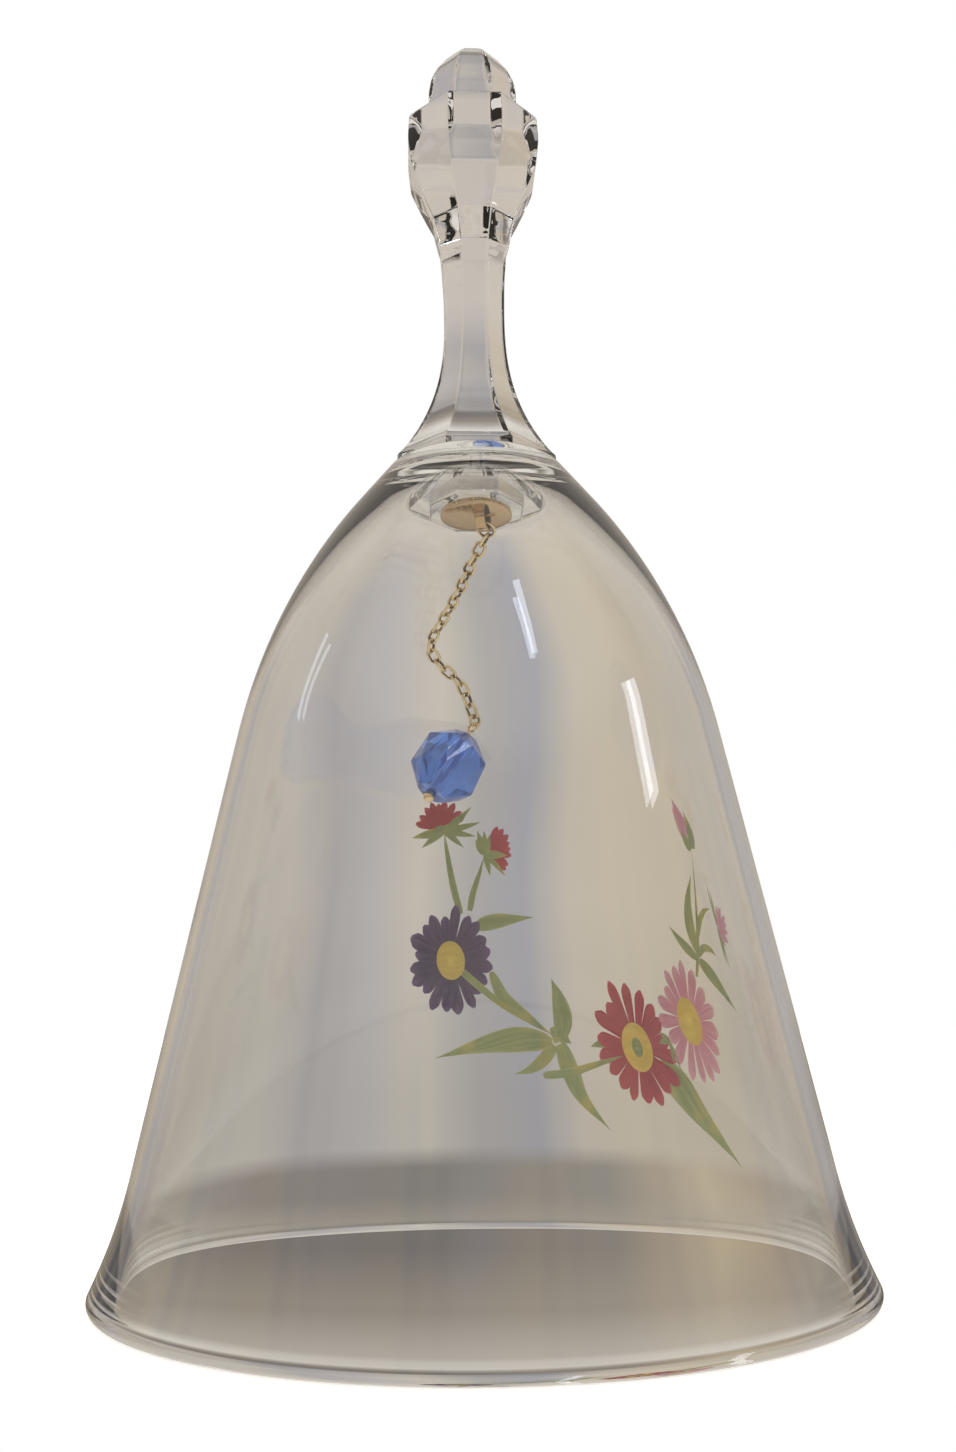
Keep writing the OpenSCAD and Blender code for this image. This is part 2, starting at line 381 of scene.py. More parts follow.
def ramp(tree, value, stops):
    """The value's colour on a ramp of [place, colour] stops."""
    node = add(tree, "ShaderNodeValToRGB", Fac=value)
    elements = node.color_ramp.elements
    while len(elements) < len(stops):
        elements.new(0.5)
    for element, (place, shade) in zip(elements, stops):
        element.position = place
        element.color = (*shade[:3], 1)
    return node.outputs[0]


def relief(tree, height, distance, strength=1.0):
    """Normals of a surface that rises by distance where height goes from 0 to 1."""
    bump = add(tree, "ShaderNodeBump", Strength=strength, Distance=distance, Height=height)
    return bump.outputs[0]


def mark(tree, name):
    """A value that closed_solid stored on the points."""
    return add(tree, "ShaderNodeAttribute", {"attribute_name": name}).outputs["Fac"]


def cleared(owner):
    """The emptied node tree of a material or world."""
    owner.use_nodes = True
    owner.node_tree.nodes.clear()
    return owner.node_tree


def fresh(name):
    """A material with its tree, its Principled shader and the place on the object."""
    material = bpy.data.materials.new(name)
    tree = cleared(material)
    shader = add(tree, "ShaderNodeBsdfPrincipled")
    add(tree, "ShaderNodeOutputMaterial", Surface=shader.outputs[0])
    return material, tree, shader, add(tree, "ShaderNodeTexCoord").outputs["Object"]


def glass(name, tint, ior, ripple, height, clear=1.0):
    """Fire-polished glass with the faint ripple it took on while soft, of a size and a
    height. clear is less than 1 in glass that is slightly milky."""
    material, tree, shader, where = fresh(name)
    normal = relief(tree, noise(tree, where, 1 / ripple, 1.0), height)
    plug(tree, shader, Base_Color=(*tint, 1), Transmission_Weight=clear, Roughness=0)
    plug(tree, shader, IOR=ior, Normal=normal)
    return material


def plated(name, bright, dark, rough, browning_and_shade, grain):
    """Drawn wire or stamped sheet, polished and plated, and browned in random clouds. A mark on the
    points sets how bright the plate is: an even level on the disc and the pin, and on the pad's
    loop and the chain's wire a painted highlight on the outside and painted shade on the inside."""
    material, tree, shader, where = fresh(name)
    cloud = noise(tree, where, 1 / (12 * grain), 3.0)
    fine = noise(tree, where, 1 / grain, 2.0)
    # shine: random browning, plus the mark's painted highlight and painted shade
    shine = maths(tree, "MULTIPLY_ADD", cloud, 1.1, mark(tree, "tone_and_painted_light"))
    base = ramp(tree, shine, [(browning_and_shade, dark), (browning_and_shade + 0.45, bright)])
    spread = mapped(tree, fine, 0.0, 1.0, 0.7 * rough, 1.4 * rough)
    normal = relief(tree, fine, 0.015 * grain)
    plug(tree, shader, Base_Color=base, Metallic=1, Roughness=spread, Normal=normal)
    return material


def enamel(name, deep, thin, fleck=None):
    """Screen-printed glass enamel fired onto the wall, in strokes. It turns thin where
    the mark "along" nears 1: at a petal's tip, a leaf's edges and a daisy's centre. The
    mark "across" runs from side to side. fleck is a second colour, dabbed on in places."""
    stretch, wander, grain, dab = (3.0, 0.7, 0.0), 300.0, 0.25 * MM, 3.5 * MM
    material, tree, shader, where = fresh(name)
    along = mark(tree, "along")
    lane = add(tree, "ShaderNodeCombineXYZ", X=mark(tree, "across"), Y=along).outputs[0]
    lane = vectors(tree, "MULTIPLY", _0=lane, _1=stretch)
    lane = vectors(tree, "ADD", _0=lane, _1=vectors(tree, "SCALE", _0=where, Scale=wander))
    edge = maths(tree, "POWER", along, 3.0)
    strokes = maths(tree, "MULTIPLY_ADD", edge, 0.35, noise(tree, lane, 1.2, 2.0))
    base = ramp(tree, strokes, [(0.42, deep), (0.95, thin)])
    if fleck:
        dabs = mapped(tree, noise(tree, where, 1 / dab, 1.0), 0.52, 0.8, 0.0, 0.6)
        base = mixed(tree, dabs, base, (*fleck, 1))
    normal = relief(tree, noise(tree, where, 1 / grain, 2.0), 0.01 * MM, 0.6)
    plug(tree, shader, Base_Color=base, Roughness=0.42, Normal=normal)
    return material


# -------- the bell's lines


def bell_lines(s):
    """Outer line of the bell from its land to its neck, and inner line from its ceiling
    to its land, as [r, z]."""
    step, passes = 0.6 * MM, 4
    land_r = s.rim_r - s.lip_r
    up = s.lip_turn - math.pi / 2
    lip_end = [land_r + s.lip_r * math.cos(up), s.lip_r + s.lip_r * math.sin(up)]
    flare, shoulder = [s.flare_r, s.flare_z], [s.shoulder_r, s.shoulder_z]
    wall = np.concatenate(
        [
            [lip_end],
            arc(lip_end, flare, s.flare_bend, 40),
            [shoulder],
            arc(shoulder, [s.crown_r, s.crown_z], s.dome_bend, 60),
            [[s.neck_r, s.top_z]],
        ]
    )
    wall = resampled(wall, step, passes)
    lip = arc([land_r, 0], lip_end, s.lip_turn, 14)
    turn = [[*wall[-3], 0], [*wall[-1], 0.5 * MM], [wall[-1][0] - MM, wall[-1][1], 0]]
    outer = np.concatenate([[[land_r, 0]], lip, wall[1:-2], rounded(turn)[1:]])
    inner_lip = [land_r - s.land - s.lip_r, s.lip_r]
    inner_flare = [s.flare_r - s.wall, s.flare_z]
    ceiling = [s.ceiling_r, s.ceiling_z]
    inner = np.concatenate(
        [
            [[s.ceiling_r - 2 * MM, s.ceiling_z], ceiling],
            arc(ceiling, [s.shoulder_r - s.wall, s.shoulder_z], s.inner_dome_bend, 60),
            [inner_flare],
            arc(inner_flare, inner_lip, s.inner_flare_bend, 30),
        ]
    )
    inner = resampled(inner, step, passes)
    lip = arc(inner_lip, [inner_lip[0] + s.lip_r, 0], math.pi / 2, 12)
    return outer, np.concatenate([inner, lip])


def axes_of(d, roll):
    """Side and normal of a piece that hangs along d: the back wall's direction made
    square to d, turned about d by roll, and d crossed with it."""
    back = np.array([0.0, 1.0, 0.0])
    side = unit(back - back @ d * d)
    other = np.cross(d, side)
    normal = math.cos(roll) * side + math.sin(roll) * other
    return np.cross(normal, d), normal


def place(joint):
    """Place of a joint, in metres."""
    return np.array(JOINTS[joint]["pos_m"], float)


def unit(v):
    """The vector made one long."""
    v = np.asarray(v, float)
    return v / np.linalg.norm(v)


# -------- operators


class BELL_OT_shell(bpy.types.Operator):
    """The blown bell and the eight-sided boss under its ceiling"""

    bl_idname = "bell.shell"
    bl_label = "Bell"

    def execute(self, context):
        s, c = settings(context)
        material = glass("blown soda-lime glass", c.clear, 1.52, 0.016, 0.00003)
        outer, inner = bell_lines(s)
        profile = np.concatenate([outer[::-1], inner[::-1]])
        piece = closed_solid("bell_wall", revolve(profile, 256))
        fit(piece, "bell", "bell_glass", material, "bell_shell")
        low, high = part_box("pad_disc")[1][2], s.ceiling_z + s.bond
        lines = rounded([[s.boss_r - MM, low, 0], [s.boss_r, low, 0.3 * MM], [s.boss_r, high, 0]])
        piece = closed_solid("bell_boss", octagons(lines, s.facet_turn, s.edge), crease=0.6)
        fit(piece, "bell", "bell_glass", material, "bell_shell")
        return {"FINISHED"}


class BELL_OT_handle(bpy.types.Operator):
    """The pressed eight-sided handle with its foot, neck, knob and cap"""

    bl_idname = "bell.handle"
    bl_label = "Handle"

    # [corner radius, height, rounding] of the foot's disc, and of all that is above the
    # flare, which runs from disc to waist: radius WAIST + WIDENING (1 - t)^POWER at height
    # FLARE_Z + FLARE_H t
    FOOT = [[10.0, 93.38, 0], [10.3, 93.4, 0.02], [10.3, 94.3, 0.25]]
    WAIST, WIDENING, POWER, FLARE_Z, FLARE_H = 4.05, 5.45, 2.6, 95.2, 19.3
    STATIONS = [
        [4.1, 118, 2], [4.5, 123.4, 0.5], [5.05, 125.4, 0.3], [5.4, 127, 0.3], [6.3, 128.8, 0.4],
        [7.6, 131.6, 0.5], [8.6, 134, 0.5], [9.0, 137.6, 0.8], [8.8, 140.9, 0.5],
        [6.1, 142.6, 0.35], [6.1, 145, 0.5], [5.75, 147, 0.4], [4.9, 148.9, 0.4],
        [3.6, 150.7, 0.4], [2.1, 152, 0.3], [0.3, 152.43, 0.1],
    ]

    def execute(self, context):
        s, c = settings(context)
        t = np.linspace(0, 1, 25)
        radius = self.WAIST + self.WIDENING * (1 - t) ** self.POWER
        rounding = np.where(t > 0, 0.3, 0.25)
        flare = np.stack([radius, self.FLARE_Z + self.FLARE_H * t, rounding], 1)
        lines = rounded(np.concatenate([self.FOOT, flare, self.STATIONS]) * MM)
        piece = closed_solid("handle_glass", octagons(lines, s.facet_turn, s.edge), crease=0.6)
        material = glass("pressed soda-lime glass", c.pressed, 1.52, 0.005, 0.000015)
        fit(piece, "bell", "handle_glass", material, "handle")
        return {"FINISHED"}


class BELL_OT_pad(bpy.types.Operator):
    """The brass pad glued under the boss, and the half-round loop on it"""

    bl_idname = "bell.pad"
    bl_label = "Pad and loop"

    # Radius of the loop's middle line, depth of its feet in the pad, and half the
    # thickness, half the width and the rounding of its strip
    LOOP_R, FOOT, HALF_T, HALF_W, EDGE = 1.7 * MM, 0.12 * MM, 0.175 * MM, 0.65 * MM, 0.08 * MM

    def execute(self, context):
        s, c = settings(context)
        material = plated("stamped brass", c.brass, c.brass_dark, 0.06, 0.2, 0.0004)
        self.disc(s, material)
        self.loop(material)
        return {"FINISHED"}

    def disc(self, s, material):
        """The stamped disc, as wide and thick as its CAD node, let into the boss."""
        low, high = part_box("pad_disc")
        r, e, top, bottom = high[0], s.pad_edge, high[2] + s.bond, low[2]
        lines = rounded([[r - MM, top, 0], [r, top, e], [r, bottom, e], [r - MM, bottom, 0]])
        lines = np.concatenate([[[0.5 * MM, top]], lines, [[0.5 * MM, bottom]]])
        rings = revolve(lines, 128)
        piece = closed_solid("pad_disc_brass", rings, marks={"tone_and_painted_light": 0.35}, crease=0.9)
        fit(piece, "bell", "pad_brass", material, "pad_disc")

    def loop(self, material):
        """The half-round loop of strip, with a painted highlight on its outside and painted shade
        on its inside.
        """
        centre, axis = place("clapper_swing"), unit(JOINTS["clapper_swing"]["axis"])
        down = np.array([0, 0, -1.0])
        side = np.cross(axis, down)
        t = np.linspace(0, math.pi, 49)[:, None]
        path = centre + self.LOOP_R * (np.cos(t) * side + np.sin(t) * down)
        foot = self.FOOT * down
        path = np.concatenate([path[:1] - foot, path, path[-1:] - foot])
        corner = np.array([[1, 1], [-1, 1], [-1, -1], [1, -1]])
        bend = np.radians(90 * np.arange(4)[:, None] + np.linspace(0, 90, 4))
        middle = corner[:, None] * [self.HALF_T - self.EDGE, self.HALF_W - self.EDGE]
        section = middle + self.EDGE * np.stack([np.cos(bend), np.sin(bend)], -1)
        rings = sweep(path, axis, section.reshape(-1, 2))
        # Painted highlight on the loop's outside and painted shade on its inside, by distance from
        # the hinge
        highlight_share = np.linalg.norm(rings - centre, axis=-1)
        highlight_share = (highlight_share - highlight_share.min()) / np.ptp(highlight_share)
        piece = closed_solid("pad_loop_strip", rings, marks={"tone_and_painted_light": 1.6 * highlight_share - 0.9}, crease=0.9)
        fit(piece, "bell", "pad_brass", material, "pad_loop")


class BELL_OT_chain(bpy.types.Operator):
    """The cable chain: the top ring, twenty oval links and the bead's ring"""

    bl_idname = "bell.chain"
    bl_label = "Chain"

    def execute(self, context):
        s, c = settings(context)
        self.material = plated("antique gold plated wire", c.gold, c.gold_dark, 0.22, 0.42, 0.00025)
        self.wire = s.wire / 2
        contact = self.wire + s.play / 2
        t = around(64)[:, None]
        names = [f"link_{k:02d}" for k in range(1, 21)]
        hang = place("clapper_swing")
        hinges = [place(f"{name}_hinge") for name in (*names, "bead_ring", "pin")]

        out = unit(hinges[0] - hang)
        side = unit(JOINTS["clapper_swing"]["axis"])
        centre = hinges[0] - (s.top_ring_r - contact) * out
        path = centre + s.top_ring_r * (np.cos(t) * out + np.sin(t) * side)
        self.ring("top_ring", path, np.cross(out, side))

        end_r = s.link_w / 2 - self.wire
        for i, (name, a, b) in enumerate(zip(names, hinges, hinges[1:])):
            d = unit(b - a)
            side, normal = axes_of(d, i * s.roll + (0 if i % 2 else math.pi / 2))
            half = np.linalg.norm(b - a) / 2 + contact - end_r
            lift = np.where(np.cos(t) >= 0, half, -half)
            path = (a + b) / 2 + (end_r * np.cos(t) + lift) * d + end_r * np.sin(t) * side
            path = resampled(np.concatenate([path, path[:1]]), 0.09 * MM)[:-1]
            self.ring(name, path, normal)

        a, b = hinges[-2:]
        d = unit(b - a)
        side, normal = axes_of(d, s.ring_roll)
        centre = a + (s.bead_ring_r - contact) * d
        self.ring("bead_ring", centre + s.bead_ring_r * (np.cos(t) * d + np.sin(t) * side), normal)
        return {"FINISHED"}

    def ring(self, name, path, normal):
        """A closed ring of wire. Its mark is highest on the outside of the ring: a painted
        highlight there, and painted shade on the inside, where the links meet.
        """
        rings = sweep(path, normal, circle(self.wire, 16), loop=True)
        out = path - path.mean(0)
        out /= np.linalg.norm(out, axis=1, keepdims=True)
        # facing runs from painted shade on the wire's inside to a painted highlight on its outside
        facing = ((rings - path[:, None]) * out[:, None]).sum(-1) / self.wire
        piece = closed_solid(f"{name}_wire", rings, loop=True, marks={"tone_and_painted_light": 0.25 + 0.45 * facing})
        fit(piece, name, "chain_brass", self.material, name)


class BELL_OT_bead(bpy.types.Operator):
    """The faceted glass bead and the head pin that it turns on"""

    bl_idname = "bell.bead"
    bl_label = "Bead and pin"

    # Latitudes of the bead's rings of eight corners
    ROWS = (-66, -24, 24, 66)
    # Eye of the pin: where its wire starts and ends, and its gap to the straight neck.
    # TAPER is the run over which the chain's wire size grows to the pin's
    CUT, NECK, TAPER = (20, 352), 0.35 * MM, 0.5 * MM

    def execute(self, context):
        s, c = settings(context)
        axis, centre = unit(JOINTS["bead_spin"]["axis"]), place("bead_spin")
        half = s.bead_d / 2 * math.sin(math.radians(self.ROWS[-1]))
        self.pin(s, c, axis, centre + (half + s.ball_out) * axis)
        self.bead(s, c, axis, centre, half)
        return {"FINISHED"}

    def pin(self, s, c, axis, ball):
        """The head pin: round the eye from its cut end, down the neck and to the ball."""
        eye = place("pin_hinge") + s.eye_r * axis
        side, normal = axes_of(axis, s.eye_roll)
        t = np.linspace(*np.radians(self.CUT), 64)[:, None]
        loop = eye + s.eye_r * (np.cos(t) * axis + np.sin(t) * side)
        neck = eye + (s.eye_r + self.NECK) * axis
        run = np.linspace(0, 1, 24)[:, None]
        path = resampled(np.concatenate([loop, neck + run * (ball - neck)]), 0.06 * MM, 3)
        grow = np.clip(((path - eye) @ axis - s.eye_r) / self.TAPER, 0, 1)
        grow[: len(grow) // 3] = 0
        scale = 1 + (s.pin_wire / s.wire - 1) * grow
        rings = sweep(path, normal, circle(s.wire / 2, 20), scale)
        gold = plated("gold plated pin wire", c.gold, c.gold_dark, 0.14, 0.2, 0.0003)
        piece = closed_solid("head_pin_wire", rings, marks={"tone_and_painted_light": 0.5})
        fit(piece, "head_pin", "pin_brass", gold, "head_pin")
        t = np.linspace(0.06, math.pi - 0.06, 33)[:, None, None]
        turn = around(48)[None, :, None]
        out = np.sin(t) * (np.cos(turn) * side + np.sin(turn) * normal) - np.cos(t) * axis
        piece = closed_solid("head_pin_ball", ball + s.ball_r * out, marks={"tone_and_painted_light": 0.6})
        fit(piece, "head_pin", "pin_brass", gold, "head_pin")

    def bead(self, s, c, axis, centre, half):
        """The bead: four rings of eight corners, every second one turned by half a side,
        and the two mouths of the hole with 24 points each."""
        side, normal = axes_of(axis, 0)
        k = np.arange(8)
        points = []
        for i, row in enumerate(np.radians(self.ROWS)):
            a = np.radians(22.5 * (i % 2) + 45 * k)
            ring = [np.cos(row) * np.cos(a), np.cos(row) * np.sin(a), np.full(8, math.sin(row))]
            points.append(s.bead_d / 2 * np.stack(ring, 1))
        for z in (-half, half):
            points.append(np.column_stack([circle(s.bore / 2, 24), np.full(24, z)]))
        points = centre + np.concatenate(points) @ [side, normal, axis]
        after = (k + 1) % 8
        faces = []
        for i in range(3):
            low, high = 8 * i, 8 * (i + 1)
            if i % 2:
                bands = [(low + k, low + after, high + after), (low + k, high + after, high + k)]
            else:
                bands = [(low + k, low + after, high + k), (low + after, high + after, high + k)]
            for corners in bands:
                faces += np.stack(corners, 1).tolist()
        for low, mouth, first in ((0, 32, 0), (24, 56, 2)):
            steps = (3 * k[:, None] + first + np.arange(4)) % 24
            ring = np.column_stack([low + k, low + after, mouth + steps[:, ::-1]])
            faces += (ring if low else ring[:, ::-1]).tolist()
        h, ahead = np.arange(24), (np.arange(24) + 1) % 24
        faces += np.stack([32 + h, 56 + h, 56 + ahead, 32 + ahead], 1).tolist()
        crease = 0.15
        bead = meshed("bead_glass", points, faces, crease)
        bevel = bead.modifiers.new("polished edges", "BEVEL")
        bevel.width, bevel.segments = s.bead_edge, 2
        bevel.limit_method, bevel.angle_limit = "ANGLE", crease
        bevel.harden_normals = True
        blue = glass("sapphire glass", c.sapphire, 1.56, 0.003, 0.00001, clear=0.84)
        fit(bead, "bead", "bead_glass", blue, "bead")


class BELL_OT_print(bpy.types.Operator):
    """The flower spray printed on the outside of the back wall"""

    bl_idname = "bell.print"
    bl_label = "Flower print"

    # Daisies: colour, azimuth and height of the middle, radius across and up, tilt of the
    # longer radius, number and fullness of the petals, and the middle's radius across and up
    DAISIES = [
        ("purple", -7.3, 36.2, 6.1, 6.9, 10, 20, 3.3, 2.0, 2.6),
        ("red", 37.2, 24.6, 6.3, 8.0, 12, 18, 2.75, 2.3, 3.2),
        ("pink", 53.0, 27.9, 5.1, 7.8, 14, 17, 2.6, 2.0, 3.0),
    ]
    # Opening buds: colour, azimuth and height of the base, directions of the first and
    # last petal, length and number of the petals
    BUDS = [
        ("red", -10.6, 53.8, 25, 170, 3.6, 9),
        ("red", 2.3, 50.7, -46, 68, 3.5, 8),
        ("pink", 71.2, 39.2, -75, 75, 2.6, 7),
    ]
    # Leaves and stems: half width at the root and in the middle, then a route of azimuth
    # and height
    LEAVES = [
        (0.35, 0.36, [(-4.9, 42.4), (-6.9, 46), (-8.9, 51), (-9.7, 53.4)]),
        (0.32, 0.34, [(-2.6, 42.8), (-1.8, 45.0), (0.0, 47.8), (1.4, 50.3)]),
        (0.6, 0.85, [(-0.6, 40.8), (3.4, 41.3), (8.0, 41.6), (14.0, 41.8)]),
        (0.3, 0.75, [(2.6, 34.6), (5.6, 31.2), (11.0, 28.6), (17.2, 25.9)]),
        (0.6, 1.2, [(18.6, 25.8), (19.4, 28.4), (18.6, 31.2), (17.2, 33.7)]),
        (0.5, 1.55, [(16.4, 25.2), (9.0, 25.6), (1.0, 25.0), (-10.8, 23.2)]),
        (0.5, 0.7, [(17.0, 24.8), (14.2, 22.9), (11.0, 21.6), (7.4, 21.0)]),
        (0.6, 1.1, [(18.4, 25.0), (20.2, 21.4), (22.6, 17.8), (28.4, 13.6)]),
        (0.9, 0.8, [(16.4, 26.0), (18.0, 26.2), (19.6, 25.6), (21.0, 25.0)]),
        (0.3, 0.5, [(30.6, 24.9), (28.8, 25.1), (27.0, 24.9), (25.4, 24.6)]),
        (0.3, 2.0, [(41.5, 22.6), (46.0, 20.4), (51.2, 16.4), (60.4, 10.4)]),
        (0.22, 0.24, [(58.2, 33.4), (60.8, 37.0), (63.8, 42.8), (66.6, 48.8)]),
        (0.3, 0.85, [(60.6, 36.2), (59.4, 39.4), (60.6, 42.8), (64.0, 45.8)]),
        (0.3, 0.6, [(59.6, 35.6), (57.0, 36.8), (54.4, 38.2), (51.8, 39.9)]),
        (0.3, 0.8, [(60.4, 35.4), (63.2, 33.8), (66.4, 31.8), (70.8, 29.0)]),
        (0.25, 0.42, [(60.4, 35.9), (62.8, 36.8), (65.6, 36.5), (67.4, 35.6)]),
        (0.25, 0.42, [(61.4, 38.2), (63.4, 40.0), (66.2, 41.2), (69.4, 41.4)]),
        (0.5, 0.6, [(67.2, 48.8), (67.6, 50.2), (67.2, 51.8), (66.2, 53.6)]),
        (0.4, 0.5, [(66.4, 48.8), (65.2, 49.6), (64.4, 50.4), (63.6, 51.2)]),
    ]
    # Stems that run over the petals, and the petals of the closed bud
    STEMS = [
        (0.32, 0.38, [(-4.8, 34.9), (0.6, 32.3), (6.6, 29.6), (15.0, 26.6)]),
        (0.3, 0.45, [(14.0, 20.8), (20.0, 21.2), (27.0, 22.4), (33.4, 23.5)]),
    ]
    CLOSED_BUD = [
        (0.5, 0.9, [(66.6, 49.2), (65.2, 51.2), (63.6, 53.4), (62.2, 55.4)]),
        (0.4, 0.6, [(65.8, 49.4), (64.2, 51.2), (62.8, 53.0), (61.6, 54.4)]),
    ]
    # Pointed sepals: azimuth and height of their base, then tips [across, up, half width]
    SEPALS = [
        (-9.7, 53.4, [(-4.6, -1.0, 0.55), (-3.1, -2.3, 0.45), (2.8, -2.2, 0.4), (4.5, -0.7, 0.4),
                      (5.2, 1.2, 0.42), (3.9, 3.3, 0.45), (-1.2, 0.5, 0.6), (1.6, 0.9, 0.6)]),
        (1.6, 50.3, [(-1.1, 3.2, 0.5), (-0.1, 3.2, 0.45), (0.7, 2.6, 0.45), (3.1, -0.2, 0.5),
                     (0.7, -3.0, 0.4), (2.8, -3.0, 0.32), (-1.4, 2.0, 0.5)]),
        (46.0, 25.6, [(-1.4, 1.0, 0.3), (-1.8, -0.4, 0.4), (0.3, -3.4, 0.2), (1.4, -4.2, 0.18)]),
        (70.8, 39.2, [(-0.5, 5.2, 0.16), (0.1, 4.4, 0.16), (0.2, -4.6, 0.2), (0.8, -5.2, 0.16)]),
    ]

    def execute(self, context):
        s, c = settings(context)
        self.paint = s.paint
        outer = bell_lines(s)[0]
        self.wall = outer[(outer[:, 1] > 3 * MM) & (outer[:, 1] < 85 * MM)]
        paints = {
            "purple": enamel("purple enamel", c.purple, c.purple_light),
            "red": enamel("red enamel", c.red, c.red_light),
            "pink": enamel("pink enamel", c.pink, c.pink_light),
            "middle": enamel("yellow enamel", c.yellow_dark, c.yellow),
            "green": enamel("green enamel", c.green, c.green_light, c.yellow_dark),
        }
        rng = np.random.default_rng(4)
        for name, az, z, rx, rz, tilt, count, full, mx, mz in self.DAISIES:
            turn = around(count) + rng.uniform(-0.04, 0.04, count)
            long = 1 + rng.normal(0, 0.07, count)
            wide = full / count * (1 + rng.normal(0, 0.12, count))
            shape = (az, z, rx, rz, math.radians(tilt), (mx, mz))
            self.petals(f"{name}_petals", shape, turn, long, wide, paints[name])
            self.middle(f"{name}_middle", shape, paints["middle"])
            if name == "red":
                self.middle("red_core", (*shape[:5], (0.8, 1.3)), paints["green"], -10)
        for i, (name, az, z, low, high, size, count) in enumerate(self.BUDS):
            turn = np.radians(np.linspace(low, high, count)) + rng.normal(0, 0.03, count)
            long = 1 + rng.normal(0, 0.06, count)
            shape = (az, z, size, size, 0, (0.1, 0.1))
            self.petals(f"bud_{i}_petals", shape, turn, long, np.full(count, 0.18), paints[name])
        self.leaves("leaves", self.LEAVES, paints["green"])
        self.leaves("stems", self.STEMS, paints["green"], -6, 0.35)
        self.leaves("closed_bud_petals", self.CLOSED_BUD, paints["pink"], 1.5)
        sepals = []
        for az, z, tips in self.SEPALS:
            k = self.per_degree(z)
            for x, y, w in tips:
                route = [(az, z), (az + 0.5 * x / k, z + 0.45 * y), (az + x / k, z + y)]
                sepals.append((0.3 * w, w, route))
        self.leaves("sepals", sepals, paints["green"], -6, 0.6)
        return {"FINISHED"}

    def on_wall(self, across, up, lift):
        """Points of the bell's outer wall: azimuth across from the back, in degrees, and
        height up, in millimetres, stood off by lift: (r sin a, r cos a, z)."""
        r, z = self.wall.T
        up = up * MM
        tilt = np.arctan(-np.interp(up, z, np.gradient(r, z)))
        out = np.interp(up, z, r) + lift * np.cos(tilt)
        a = np.radians(across)
        return np.stack([out * np.sin(a), out * np.cos(a), up + lift * np.sin(tilt)], -1)

    def per_degree(self, z):
        """Millimetres round the wall to a degree, at a height."""
        return math.radians(1) * self.on_wall(0.0, z, 0.0)[1] / MM

    def slab(self, name, across, up, marks, paint, layer):
        """Thin sheets of paint on the wall: across and up are [shape, along, side], and each
        cross-section runs out on the glass side and back on the outer side. Each shape lies
        a hair further out than the last, as layers of print do. A lower layer is nearer
        the glass, so it lies on top as seen from inside."""
        thick = self.paint
        step = (layer + 0.9 * np.arange(len(up)) / len(up))[:, None, None] * 0.09 * thick
        faces = [self.on_wall(across, up, lift * thick + step) for lift in (-0.45, 0.55)]
        rings = np.concatenate([faces[0], faces[1][:, :, ::-1]], 2)
        for key, value in marks.items():
            value = value + 0 * up
            marks[key] = np.concatenate([value, value[:, :, ::-1]], 2)
        piece = closed_solid(name, rings, marks=marks, crease=0.8)
        fit(piece, "bell", "bell_glass", paint)

    def placed(self, shape, x, y):
        """Azimuths and heights of points x, y millimetres from a flower's middle, tilted."""
        az, z, _, _, tilt, _ = shape
        x, y = x * math.cos(tilt) - y * math.sin(tilt), x * math.sin(tilt) + y * math.cos(tilt)
        return az + x / self.per_degree(z), z + y

    def petals(self, name, shape, turn, long, width, paint):
        """Petals about a middle: r (cos a, sin a) + w(r) u (-sin a, cos a), in units of the
        flower's radii, for u from side to side. w widens outwards, from t = 0.55 closes as
        an ellipse, and the tip is drawn back in notches by up to 0.07."""
        _, _, rx, rz, _, middle = shape
        t = np.linspace(0, 1, 17)[None, :, None]
        u = np.linspace(-1, 1, 11)[None, None, :]
        a = turn[:, None, None]
        notch = 1 - 0.07 * (1 - np.cos(3 * math.pi * u)) / 2 * t**8
        base = 0.97 / np.hypot(np.cos(a) * rx / middle[0], np.sin(a) * rz / middle[1])
        out = base + (long[:, None, None] * notch - base) * t
        close = np.clip((t - 0.55) / 0.46, 0, 1)
        spread = width[:, None, None] * (0.45 + 0.55 * t) * np.sqrt(np.clip(1 - close**2, 0.02, 1))
        x = rx * (out * np.cos(a) - spread * u * np.sin(a))
        y = rz * (out * np.sin(a) + spread * u * np.cos(a))
        across, up = self.placed(shape, x, y)
        self.slab(name, across, up, {"along": t, "across": u}, paint, -4)

    def middle(self, name, shape, paint, layer=-8):
        """A middle: strips side by side that together fill an ellipse."""
        mx, mz = shape[5]
        t = np.linspace(-0.995, 0.995, 25)[None, :, None]
        u = np.linspace(-1, 1, 17)[None, None, :]
        x, y = mx * t + 0 * u, mz * np.sqrt(1 - t**2) * u
        across, up = self.placed(shape, x, y)
        along = 1 - np.hypot(x / mx, y / mz)
        self.slab(name, across, up, {"along": along, "across": u}, paint, layer)

